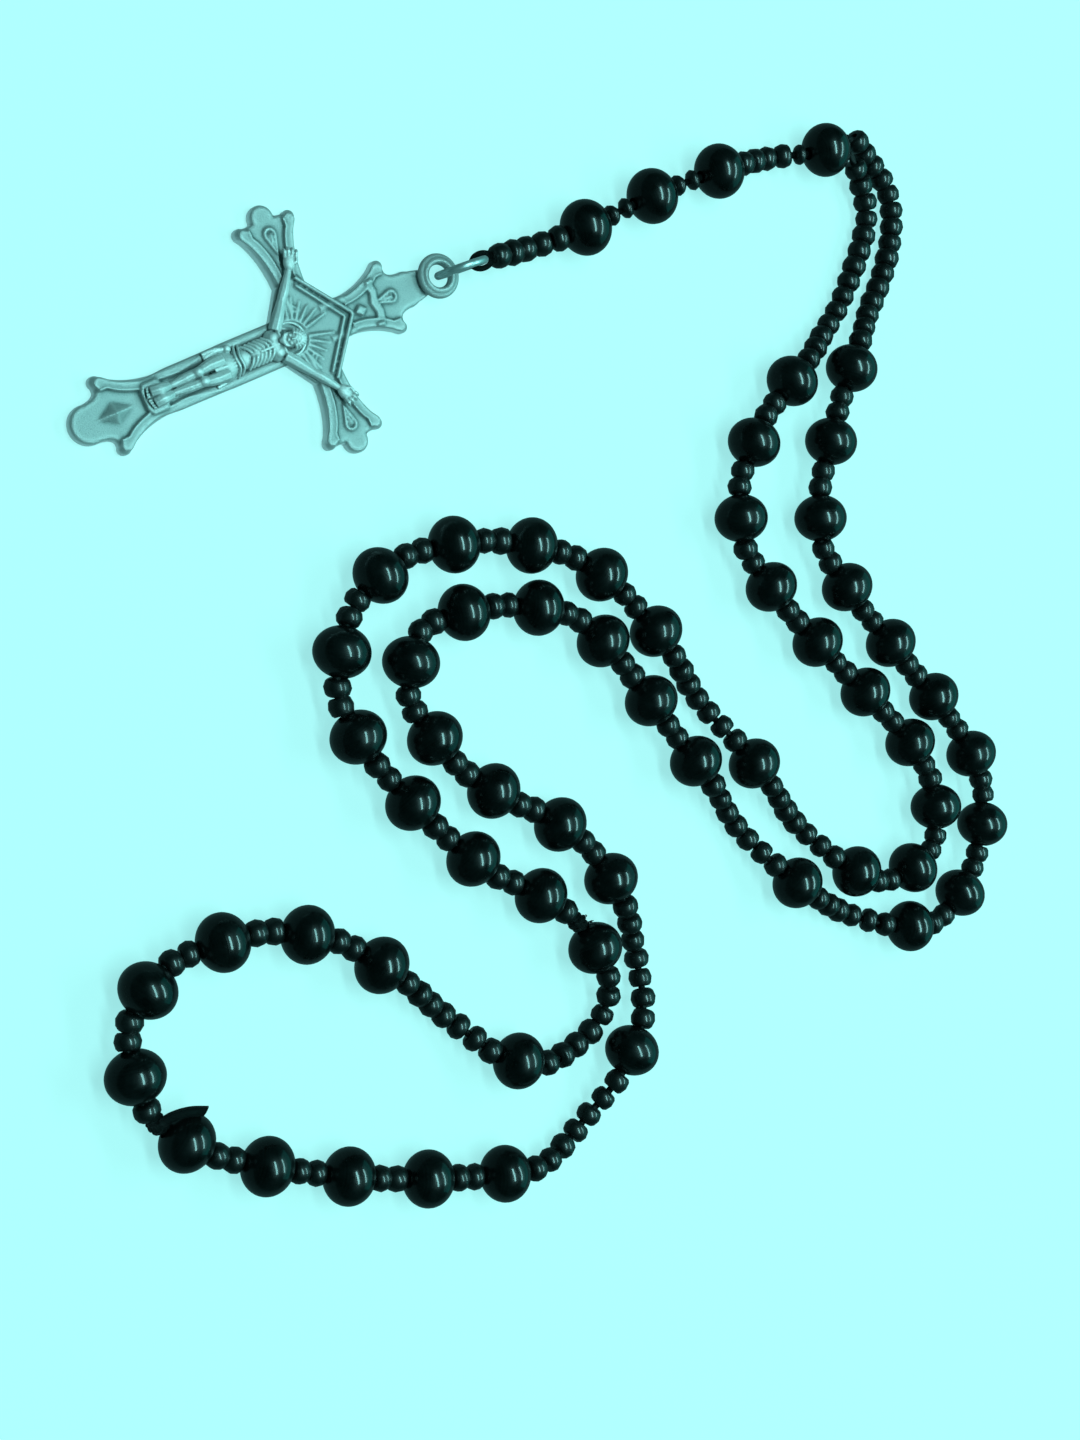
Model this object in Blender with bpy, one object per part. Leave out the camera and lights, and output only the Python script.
"""A five-decade rosary laid out on a table: black beads threaded on one black nylon cord, a cast
crucifix on a jump ring, and a short pendant between the crucifix and the junction bead.
Metres, +Z up. The origin is on the table, under the middle of the laid-out rosary.
The crucifix points to the left (-X), and the loop of decades lies below and to the right of it."""

import math

import bmesh
import bpy
from mathutils import Matrix, Vector
from mathutils.geometry import interpolate_bezier

MM = 0.001

# Beads and cord
BEAD_DIAMETER = 8 * MM
BEAD_LENGTH = 7 * MM
BORE_DIAMETER = 1.8 * MM
SEED_DIAMETER = 3.5 * MM
SEED_LENGTH = 2.35 * MM
CORD_DIAMETER = 1 * MM
SEEDS_BETWEEN_BEADS = 2
LINK_GAP = 0.35 * MM
SETTLING_LENGTH = 9 * MM  # how far from a bead the cord has come down to the table

# Jump ring and the cord's eye round it
RING_RADIUS = 3.4 * MM
RING_WIRE_RADIUS = 0.55 * MM
EYE_RADIUS = 1.4 * MM
EYE_CORD_RADIUS = 0.4 * MM
STUB_RADIUS = 0.575 * MM  # the cord's end, doubled back into the eye

# Crucifix, measured from the middle of its crossing
CASTING_THICKNESS = 2.4 * MM
CROSSING_TO_FOOT = 35.9 * MM
CROSSING_TO_BAIL = 20.7 * MM
CROSSING_TO_ARM_END = 17.5 * MM
SHAFT_HALF_WIDTH = 2.9 * MM
ARM_HALF_WIDTH = 2.2 * MM
FLARE_HALF_WIDTH = 2.7 * MM  # of the top and the foot, where they begin to widen
TIP_RADIUS = 0.7 * MM
TOP_LOBE_RADIUS = 2.2 * MM
ARM_LOBE_RADIUS = 2 * MM
FOOT_LOBE_RADIUS = 2.7 * MM
BAIL_RADIUS = 2.35 * MM
BAIL_WIRE_RADIUS = 0.8 * MM
BAIL_HEIGHT = 2.3 * MM

# The figure in relief, as round sections in millimetres: along, across, up, and radius
FIGURE_TRUNK = ((-27, 0, 2, 0.9), (-23.5, 0, 2.5, 1.2), (-17, 0, 2.4, 1.5), (-12.5, 0, 2.3, 1.9),
                (-9, 0, 2.3, 1.5), (-5.2, 0, 2.5, 1.8), (-4, 0, 2.5, 1.1))
FIGURE_ARM = ((-5, 1.2, 2.6, 0.8), (-1.5, 5, 2.6, 0.75), (1, 9.4, 2.6, 0.7))
FIGURE_HEAD = ((-4.9, 0, 2.6, 0.9), (-4.2, 0, 2.7, 1.55), (-2.6, 0, 2.7, 1.6), (-1.8, 0, 2.7, 0.9))

# Facets: enough for the shape, few enough to stay light
BEAD_SIDES = 10
CORD_SIDES = 6
LINK_SIDES = 8
RING_SIDES = (28, 8)  # round the ring, and round its wire
EYE_SIDES = (16, 6)
BAIL_SIDES = (20, 8)
FLARE_STEPS = 5
LOBE_STEPS = 4
SMOOTH_BELOW = math.radians(50)

# The places are in millimetres on the table, chosen along the middle of the cord. Each stretch has
# what is threaded on it, how many, and its points. A stretch of beads starts and ends on a bead.
MIDDLE = (0.7, -0.6)  # of the laid-out rosary, where the origin is
JUNCTION = (40.9, 74.6)
JUNCTION_TURN = math.radians(17)
LOOP = (
    ("end", 0, ((45.2, 75.2), (46.4, 73.6))),
    ("seeds", 14, ((49.8, 69.2), (50.3, 64), (45.4, 52), (40.6, 45.4))),
    ("decade_1", 10, ((34.7, 39), (27, 28.5), (25.2, 16), (32.5, 6), (42, -2.6), (51, -10), (59.6, -18),
                      (63.8, -27.5), (60, -36), (47.2, -36.6))),
    ("seeds", 7, ()),
    ("our_father_1", 1, ((27.9, -19),)),
    ("seeds", 7, ()),
    ("decade_2", 11, ((10.4, 0.8), (0.5, 9.5), (-10.6, 12.8), (-22.6, 12.5), (-34, 8.2),
                      (-39.5, -2.3), (-37.4, -13.8), (-19.4, -31.6), (-8, -37), (0.4, -44.8))),
    ("seeds", 7, ((3, -54), (-2.5, -59.5))),
    ("our_father_2", 1, ((-12.6, -60.8),)),
    ("seeds", 7, ((-22, -54),)),
    ("decade_3", 10, ((-33.5, -45), (-44, -40), (-56.3, -40.3), (-67, -45.7), (-68.4, -56.5),
                      (-61, -66.6), (-38, -73.5), (-14.6, -76))),
    ("seeds", 7, ((-4, -73.6),)),
    ("our_father_3", 1, ((6.5, -60.5),)),
    ("seeds", 7, ((8.8, -49),)),
    ("decade_4", 10, ((2.9, -35), (-5.7, -26.6), (-17.1, -21.8), (-26.4, -13.6), (-29.9, -6.5), (-27.8, 0.2),
                      (-20.2, 3.4), (-8.6, 4), (1.2, -0.3), (17.4, -18.4))),
    ("seeds", 7, ()),
    ("our_father_4", 1, ((35.9, -37.6),)),
    ("seeds", 6, ()),
    ("decade_5", 10, ((58, -45.8), (68.4, -41), (73.2, -28.8), (69.8, -17), (52.2, 1), (44, 9.2),
                      (39.7, 19.5), (45.9, 41.8))),
    ("seeds", 15, ((53, 55.5), (55.5, 65), (53.8, 71.8))),
    ("end", 0, ((46.4, 77.5), (44.8, 76.8))),
)
PENDANT = (
    ("end", 0, ((37.4, 73.5),)),
    ("seeds", 5, ((31, 72.4),)),
    ("pendant_3", 1, ((21.3, 69),)),
    ("seeds", 2, ()),
    ("pendant_2", 1, ((9.6, 64),)),
    ("seeds", 2, ()),
    ("pendant_1", 1, ((-1.5, 58.1),)),
    ("seeds", 5, ((-9, 55),)),
    ("end", 0, ((-16.5, 52.4),)),
)
TIED = {"decade_2_bead_10": "tied_beads_decade_2", "decade_3_bead_5": "tied_beads_decade_3"}
BAIL_AT = (-24.1, 49.4)
CRUCIFIX_TURN = math.radians(25.6)
RING_TURN = math.radians(22)


def clear_scene():
    for old in list(bpy.data.objects):
        bpy.data.objects.remove(old, do_unlink=True)


def material(name, colour, roughness, metallic=0.0):
    made = bpy.data.materials.new(name)
    made.use_nodes = True
    shader = made.node_tree.nodes["Principled BSDF"]
    shader.inputs["Base Color"].default_value = (*colour, 1)
    shader.inputs["Roughness"].default_value = roughness
    shader.inputs["Metallic"].default_value = metallic
    return made


def add_object(name, mesh, finish, origin=(0, 0, 0), turn=None):
    """An object whose mesh is already placed round its origin."""
    mesh.materials.append(finish)
    made = bpy.data.objects.new(name, mesh)
    bpy.context.collection.objects.link(made)
    made.matrix_world = Matrix.Translation(origin) @ (turn or Matrix()).to_4x4()
    return made


def on_table(x, y):
    return Vector(((x - MIDDLE[0]) * MM, (y - MIDDLE[1]) * MM, 0))


def hang_on(child, parent):
    bpy.context.view_layer.update()
    child.parent = parent
    child.matrix_parent_inverse = parent.matrix_world.inverted()


# Threading


class Threaded:
    """One bead or seed, with its middle and the way its hole points."""

    def __init__(self, kind, name, place):
        self.kind = kind
        self.name = name
        self.place = place
        self.at = None
        self.along = None

    def end(self, way):
        length = SEED_LENGTH if self.kind == "seed" else BEAD_LENGTH
        return self.at + self.along * (way * length / 2)


class Route:
    """A smooth curve through points on the table, read by the distance along it."""

    STEPS = 24

    def __init__(self, points):
        flat = [on_table(x, y) for x, y in points]
        before = [flat[0] * 2 - flat[1]] + flat + [flat[-1] * 2 - flat[-2]]
        self.points = []
        self.at_point = []
        for i in range(1, len(flat)):
            start, end = before[i], before[i + 1]
            out = start + (end - before[i - 1]) / 6
            back = end - (before[i + 2] - start) / 6
            self.at_point.append(len(self.points))
            self.points += interpolate_bezier(start, out, back, end, self.STEPS + 1)[:-1]
        self.at_point.append(len(self.points))
        self.points.append(flat[-1])
        self.runs = [0.0]
        for a, b in zip(self.points, self.points[1:]):
            self.runs.append(self.runs[-1] + (b - a).length)

    def place_of(self, point_number):
        return self.runs[self.at_point[point_number]]

    def at(self, place):
        i = next((i for i, run in enumerate(self.runs[1:]) if run >= place), len(self.runs) - 2)
        share = (place - self.runs[i]) / (self.runs[i + 1] - self.runs[i])
        return self.points[i].lerp(self.points[i + 1], share)


def spread(count, start, end):
    """The middles of equal lengths between two places."""
    return [start + (end - start) * (i + 0.5) / count for i in range(count)]


def thread(stretches):
    """Threads the beads and seeds on the cord, in order, with the slack shared out evenly."""
    route = Route([point for _, _, points in stretches for point in points])
    last_point = [sum(len(s[2]) for s in stretches[:n + 1]) - 1 for n in range(len(stretches))]
    first_point = [last_point[n] - len(s[2]) + 1 for n, s in enumerate(stretches)]
    places = {}
    for number, (kind, count, points) in enumerate(stretches):
        start, end = (route.place_of(i) for i in (first_point[number], last_point[number]))
        if kind == "end":
            places[number] = [start, end]
        elif kind != "seeds":
            steps = max(count - 1, 1)
            places[number] = [start + (end - start) * i / steps for i in range(count)]
    threaded = []
    for number, (kind, count, points) in enumerate(stretches):
        if kind == "seeds":
            reach = [0 if stretches[n][0] == "end" else BEAD_LENGTH / 2 for n in (number - 1, number + 1)]
            start = places[number - 1][-1] + reach[0]
            end = places[number + 1][0] - reach[1]
            threaded += [Threaded("seed", "", s) for s in spread(count, start, end)]
        elif kind != "end":
            for i, place in enumerate(places[number]):
                if i:
                    start = places[number][i - 1] + BEAD_LENGTH / 2
                    seeds = spread(SEEDS_BETWEEN_BEADS, start, place - BEAD_LENGTH / 2)
                    threaded += [Threaded("seed", "", s) for s in seeds]
                name = f"{kind}_bead_{i + 1}" if count > 1 else f"{kind}_bead"
                threaded.append(Threaded("bead", name, place))
    whole = route.runs[-1]
    held = [t.place for t in threaded if t.kind == "bead"]
    held += [-BEAD_LENGTH / 2, whole + BEAD_LENGTH / 2]
    for piece in threaded:
        lay(piece, route, held)
    ends = [lay(Threaded("end", "", s), route, held) for s in (0, whole)]
    return threaded, ends


def height(place, held):
    """The beads hold the cord up, and between them it comes down to lie on the table."""
    free = min(abs(place - bead) for bead in held) - BEAD_LENGTH / 2
    rise = max(0.0, 1 - max(free, 0.0) / SETTLING_LENGTH)
    rise = rise * rise * (3 - 2 * rise)
    return (SEED_DIAMETER + (BEAD_DIAMETER - SEED_DIAMETER) * rise) / 2


def lay(piece, route, held):
    """Sets a piece straight between the two points of the curve where its hole begins and ends."""
    half = {"bead": BEAD_LENGTH / 2, "seed": SEED_LENGTH / 2, "end": CORD_DIAMETER / 2}[piece.kind]
    ends = []
    for place in (piece.place - half, piece.place + half):
        place = min(max(place, 0), route.runs[-1])
        flat = route.at(place)
        ends.append(Vector((flat.x, flat.y, height(place, held))))
    piece.at = ends[0 if piece.place == 0 else 1] if piece.kind == "end" else (ends[0] + ends[1]) / 2
    piece.along = (ends[1] - ends[0]).normalized()
    return piece


# Shapes turned round the cord


def bead_rings(bead):
    """The bead's outer shape, as places along its hole and radii."""
    shape = ((-1, 0.42), (-0.4, 1), (0.4, 1), (1, 0.42))
    half = BEAD_LENGTH / 2
    return [(bead.at + bead.along * (t * half), bead.along, r * BEAD_DIAMETER / 2) for t, r in shape]


def seed_ring(seed):
    return [(seed.at, seed.along, SEED_DIAMETER / 2)]


def neck(before, after):
    """The cord showing between two threaded pieces."""
    middle = (before.end(1) + after.end(-1)) / 2
    along = (before.along + after.along).normalized()
    return [(middle, along, CORD_DIAMETER / 2)]


def circle(bm, ring, sides):
    centre, along, radius = ring
    across = along.cross(Vector((0, 0, 1))).normalized()
    up = across.cross(along)
    turns = [math.pi / 2 + 2 * math.pi * i / sides for i in range(sides)]
    return [bm.verts.new(centre + (across * math.cos(a) + up * math.sin(a)) * radius) for a in turns]


def bridge(bm, loops):
    for a, b in zip(loops, loops[1:]):
        for i in range(len(a)):
            j = (i + 1) % len(a)
            bm.faces.new((a[i], b[i], b[j], a[j]))


def closed_mesh(name, bm):
    """The finished mesh, in triangles that face outward."""
    bmesh.ops.triangulate(bm, faces=bm.faces)
    bmesh.ops.recalc_face_normals(bm, faces=bm.faces)
    mesh = bpy.data.meshes.new(name)
    bm.to_mesh(mesh)
    bm.free()
    return mesh


def bored(rings):
    """The rings of the hole that runs through these."""
    return [(centre, along, BORE_DIAMETER / 2) for centre, along, _ in rings]


def turned(name, rings, sides, hole=(), origin=(0, 0, 0)):
    """A closed skin through rings of points, solid or with a hole through rings of its own."""
    bm = bmesh.new()
    outer = [circle(bm, ring, sides) for ring in rings]
    if hole:
        inner = [circle(bm, ring, sides) for ring in hole]
        bridge(bm, outer + inner[::-1] + outer[:1])
    else:
        bridge(bm, outer)
        bm.faces.new(outer[0])
        bm.faces.new(reversed(outer[-1]))
    bmesh.ops.translate(bm, verts=bm.verts, vec=-Vector(origin))
    mesh = closed_mesh(name, bm)
    mesh.shade_smooth()
    mesh.set_sharp_from_angle(angle=SMOOTH_BELOW)
    return mesh


def one_bead(finish):
    """The single bead that every loop bead shares, with its hole along local X."""
    model = Threaded("bead", "bead", 0)
    model.at = Vector()
    model.along = Vector((1, 0, 0))
    rings = bead_rings(model)
    mesh = turned("bead", rings, BEAD_SIDES, hole=bored((rings[0], rings[-1])))
    mesh.materials.append(finish)
    return mesh


def make_loop(nylon):
    """The loop's cord and seeds, fused, and what is threaded on it."""
    threaded, ends = thread(LOOP)
    tied = {}
    for number, piece in enumerate(threaded):
        if piece.name in TIED:
            tied[TIED[piece.name]] = threaded[number:number + SEEDS_BETWEEN_BEADS + 2]
    for group in tied.values():
        for piece in group[1:-1]:
            piece.kind = "knot"
    rings = [(ends[0].at, ends[0].along, CORD_DIAMETER / 2)]
    for number, piece in enumerate(threaded):
        before = threaded[number - 1] if number else None
        if before and before.kind == piece.kind == "seed":
            rings += neck(before, piece)
        if piece.kind == "seed":
            rings += seed_ring(piece)
        elif piece.kind == "knot":
            rings.append((piece.at, piece.along, CORD_DIAMETER / 2))
        else:
            rings += [(piece.end(way), piece.along, CORD_DIAMETER / 2) for way in (-1, 1)]
    rings.append((ends[1].at, ends[1].along, CORD_DIAMETER / 2))
    cord = add_object("loop_cord_with_seeds", turned("loop_cord", rings, CORD_SIDES), nylon)
    return threaded, tied, cord


def make_tied_pairs(tied, black, cord):
    """Two neighbouring beads that a tight knot holds together. The cord still runs through both."""
    for name, group in tied.items():
        first, *knots, last = group
        rings = bead_rings(first)
        for knot in knots:
            rings += seed_ring(knot)
        rings += bead_rings(last)
        mesh = turned(name, rings, BEAD_SIDES, hole=bored(rings))
        hang_on(add_object(name, mesh, black), cord)


def make_beads(threaded, tied, black, cord):
    """The beads that turn on the cord, each with its origin in the middle of its hole."""
    held = {id(piece) for group in tied.values() for piece in group}
    mesh = one_bead(black)
    for piece in threaded:
        if piece.kind == "bead" and id(piece) not in held:
            made = bpy.data.objects.new(piece.name, mesh)
            bpy.context.collection.objects.link(made)
            turn = piece.along.to_track_quat("X", "Z").to_matrix().to_4x4()
            made.matrix_world = Matrix.Translation(piece.at) @ turn
            hang_on(made, cord)


def make_junction(black, cord):
    piece = Threaded("bead", "junction_bead", 0)
    piece.at = on_table(*JUNCTION) + Vector((0, 0, BEAD_DIAMETER / 2))
    piece.along = Vector((math.cos(JUNCTION_TURN), math.sin(JUNCTION_TURN), 0))
    hang_on(add_object("junction_bead", turned("junction_bead", bead_rings(piece), BEAD_SIDES), black), cord)


# Pendant


def link_rings(pieces, start, end):
    """One link: its bead and seeds on a stub of cord that stops just short of each hinge."""
    short = LINK_GAP / 2
    rings = [(start[0] + start[1] * short, start[1], CORD_DIAMETER / 2)]
    for number, piece in enumerate(pieces):
        before = pieces[number - 1] if number else None
        if before and before.kind == piece.kind == "seed":
            rings += neck(before, piece)
        rings += seed_ring(piece) if piece.kind == "seed" else bead_rings(piece)
    rings.append((end[0] - end[1] * short, end[1], CORD_DIAMETER / 2))
    return rings


def unite(target, tool):
    """Joins a second solid to the first and removes it."""
    join = target.modifiers.new("join", "BOOLEAN")
    join.operation = "UNION"
    join.object = tool
    with bpy.context.temp_override(object=target, active_object=target):
        bpy.ops.object.modifier_apply(modifier=join.name)
    bpy.data.objects.remove(tool, do_unlink=True)


def torus(name, radius, wire_radius, sides, place, finish):
    bm = bmesh.new()
    loops = []
    for i in range(sides[0]):
        a = 2 * math.pi * i / sides[0]
        out = Vector((math.cos(a), math.sin(a), 0))
        along = Vector((-math.sin(a), math.cos(a), 0))
        loops.append(circle(bm, (out * radius, along, wire_radius), sides[1]))
    bridge(bm, loops + loops[:1])
    bmesh.ops.transform(bm, matrix=place, verts=bm.verts)
    mesh = closed_mesh(name, bm)
    mesh.shade_smooth()
    return add_object(name, mesh, finish)


def make_pendant(black, cord):
    """Three links, hinged end to end in the gaps between two seeds. Returns the last one."""
    threaded, ends = thread(PENDANT)
    cuts = [(ends[0].at, ends[0].along)]
    beads = [i for i, piece in enumerate(threaded) if piece.kind == "bead"]
    for number in beads[:-1]:
        a, b = threaded[number + 1], threaded[number + 2]
        cuts.append(((a.end(1) + b.end(-1)) / 2, (a.along + b.along).normalized()))
    cuts.append((ends[1].at, ends[1].along))
    firsts = [0] + [number + 2 for number in beads[:-1]] + [len(threaded)]
    link = cord
    for i, name in enumerate(("pendant_link_3", "pendant_link_2", "pendant_link_1")):
        pieces = threaded[firsts[i]:firsts[i + 1]]
        rings = link_rings(pieces, cuts[i], cuts[i + 1])
        parent = link
        link = add_object(name, turned(name, rings, LINK_SIDES, origin=cuts[i][0]), black, cuts[i][0])
        hang_on(link, parent)
    return link


def ring_frame():
    """The jump ring's middle, and the way from the crucifix to the pendant."""
    along = Vector((math.cos(RING_TURN), math.sin(RING_TURN), 0))
    ring_height = RING_RADIUS + RING_WIRE_RADIUS
    drop = ring_height - BAIL_HEIGHT
    inset = math.sqrt(RING_RADIUS ** 2 - drop ** 2)
    middle = on_table(*BAIL_AT) + along * inset
    middle.z = ring_height
    return middle, along


def make_eye(link, black):
    """The loop at the pendant's end, tied round the jump ring, with the stub that leads into it."""
    middle, along = ring_frame()
    eye_at = middle + along * RING_RADIUS
    eye = torus("eye", EYE_RADIUS, EYE_CORD_RADIUS, EYE_SIDES, Matrix.Translation(eye_at), black)
    unite(link, stub_to_eye(eye_at, along, black))
    unite(link, eye)


def stub_to_eye(eye_at, along, black):
    """The cord from the last seed into the eye."""
    start = eye_at + along * (EYE_RADIUS - EYE_CORD_RADIUS / 2)
    _, ends = thread(PENDANT)
    end = ends[1].at - ends[1].along * SEED_LENGTH / 2
    way = (end - start).normalized()
    rings = [(start, way, STUB_RADIUS), (end, way, STUB_RADIUS)]
    return add_object("stub", turned("stub", rings, LINK_SIDES), black)


def make_jump_ring(silver, parent):
    middle, along = ring_frame()
    anchor = middle + along * RING_RADIUS
    upright = Matrix.Rotation(RING_TURN, 4, "Z") @ Matrix.Rotation(math.pi / 2, 4, "X")
    place = Matrix.Translation(middle - anchor) @ upright
    ring = torus("jump_ring", RING_RADIUS, RING_WIRE_RADIUS, RING_SIDES, place, silver)
    ring.location = anchor
    hang_on(ring, parent)
    return ring


# Crucifix. Local X runs from the foot to the bail, Y across, and the middle of the crossing is 0.


def curve(start, pull, end, steps):
    """Points of one concave or convex edge, without its last point."""
    points = []
    for i in range(steps):
        t = i / steps
        a, b, c = (1 - t) ** 2, 2 * t * (1 - t), t * t
        points.append((a * start[0] + b * pull[0] + c * end[0], a * start[1] + b * pull[1] + c * end[1]))
    return points


def branch(neck_at, half_width, tip_at, tip_half, end_at, lobe_radius):
    """One end of the cross, along +X: a flare with two tips and a round lobe between them."""
    tip, lobe_at = TIP_RADIUS, end_at - lobe_radius
    side = curve((neck_at, half_width), (tip_at - 2.2 * MM, half_width), (tip_at - tip, tip_half), FLARE_STEPS)
    side.append((tip_at - tip, tip_half))
    side.append((tip_at, tip_half + 0.05 * MM))
    side.append((tip_at + tip * 0.6, tip_half - tip))
    side += curve((tip_at + tip * 0.4, tip_half - 1.5 * tip), (tip_at + 0.2 * MM, lobe_radius),
                  (lobe_at - 0.55 * lobe_radius, lobe_radius * 0.98), 2)[1:]
    for i in range(LOBE_STEPS + 1):
        a = math.radians(105 - 105 * i / LOBE_STEPS)
        side.append((lobe_at + lobe_radius * math.cos(a), lobe_radius * math.sin(a)))
    return side + [(x, -y) for x, y in reversed(side[:-1])]


def cross_outline():
    """The outline of the whole casting, anticlockwise from the top branch."""
    top = branch(6 * MM, FLARE_HALF_WIDTH, 13.4 * MM, 5.1 * MM, 17.8 * MM, TOP_LOBE_RADIUS)
    arm = branch(6.5 * MM, ARM_HALF_WIDTH, 15 * MM, 4.1 * MM, CROSSING_TO_ARM_END, ARM_LOBE_RADIUS)
    foot = branch(23 * MM, FLARE_HALF_WIDTH, 30.5 * MM, 5.3 * MM, CROSSING_TO_FOOT, FOOT_LOBE_RADIUS)
    outline = []
    for points, turn, after in ((top, 0, (1, -1)), (arm, 3, (-1, -1)), (foot, 2, (-1, 1)), (arm, 1, (1, 1))):
        for x, y in points:
            for _ in range(turn):
                x, y = -y, x
            outline.append((x, y))
        outline.append((ARM_HALF_WIDTH * after[0], SHAFT_HALF_WIDTH * after[1]))
    return outline


def plate(name, outline, thickness, finish):
    bm = bmesh.new()
    face = bm.faces.new([bm.verts.new((x, y, 0)) for x, y in outline])
    lifted = bmesh.ops.extrude_face_region(bm, geom=[face])["geom"]
    moved = [v for v in lifted if isinstance(v, bmesh.types.BMVert)]
    bmesh.ops.translate(bm, verts=moved, vec=(0, 0, thickness))
    return add_object(name, closed_mesh(name, bm), finish)


def limb(name, points, finish):
    """A solid through round sections of the figure."""
    middles = [Vector(p[:3]) * MM for p in points]
    ways = [b - a for a, b in zip(middles, middles[1:])]
    ways.append(ways[-1])
    rings = [(m, w.normalized(), p[3] * MM) for m, w, p in zip(middles, ways, points)]
    return add_object(name, turned(name, rings, LINK_SIDES), finish)


def make_crucifix(silver, ring):
    """One casting: the cross, the figure in relief on it, and the bail that the jump ring holds."""
    body = plate("crucifix", cross_outline(), CASTING_THICKNESS, silver)
    unite(body, limb("trunk", FIGURE_TRUNK, silver))
    for side in (-1, 1):
        unite(body, limb("arm", [(x, side * y, z, radius) for x, y, z, radius in FIGURE_ARM], silver))
    unite(body, limb("head", FIGURE_HEAD, silver))
    bail_at = Matrix.Translation((CROSSING_TO_BAIL, 0, BAIL_HEIGHT))
    unite(body, torus("bail", BAIL_RADIUS, BAIL_WIRE_RADIUS, BAIL_SIDES, bail_at, silver))
    body.data.transform(Matrix.Translation((-CROSSING_TO_BAIL, 0, 0)))
    body.matrix_world = Matrix.Translation(on_table(*BAIL_AT)) @ Matrix.Rotation(CRUCIFIX_TURN, 4, "Z")
    hang_on(body, ring)


clear_scene()
black = material("black_bead", (0.006, 0.009, 0.010), 0.12)
nylon = material("black_nylon", (0.008, 0.010, 0.011), 0.55)
silver = material("cast_silver", (0.62, 0.70, 0.71), 0.36, 1.0)
threaded, tied, cord = make_loop(nylon)
make_tied_pairs(tied, black, cord)
make_beads(threaded, tied, black, cord)
make_junction(black, cord)
last_link = make_pendant(black, cord)
make_eye(last_link, black)
make_crucifix(silver, make_jump_ring(silver, last_link))
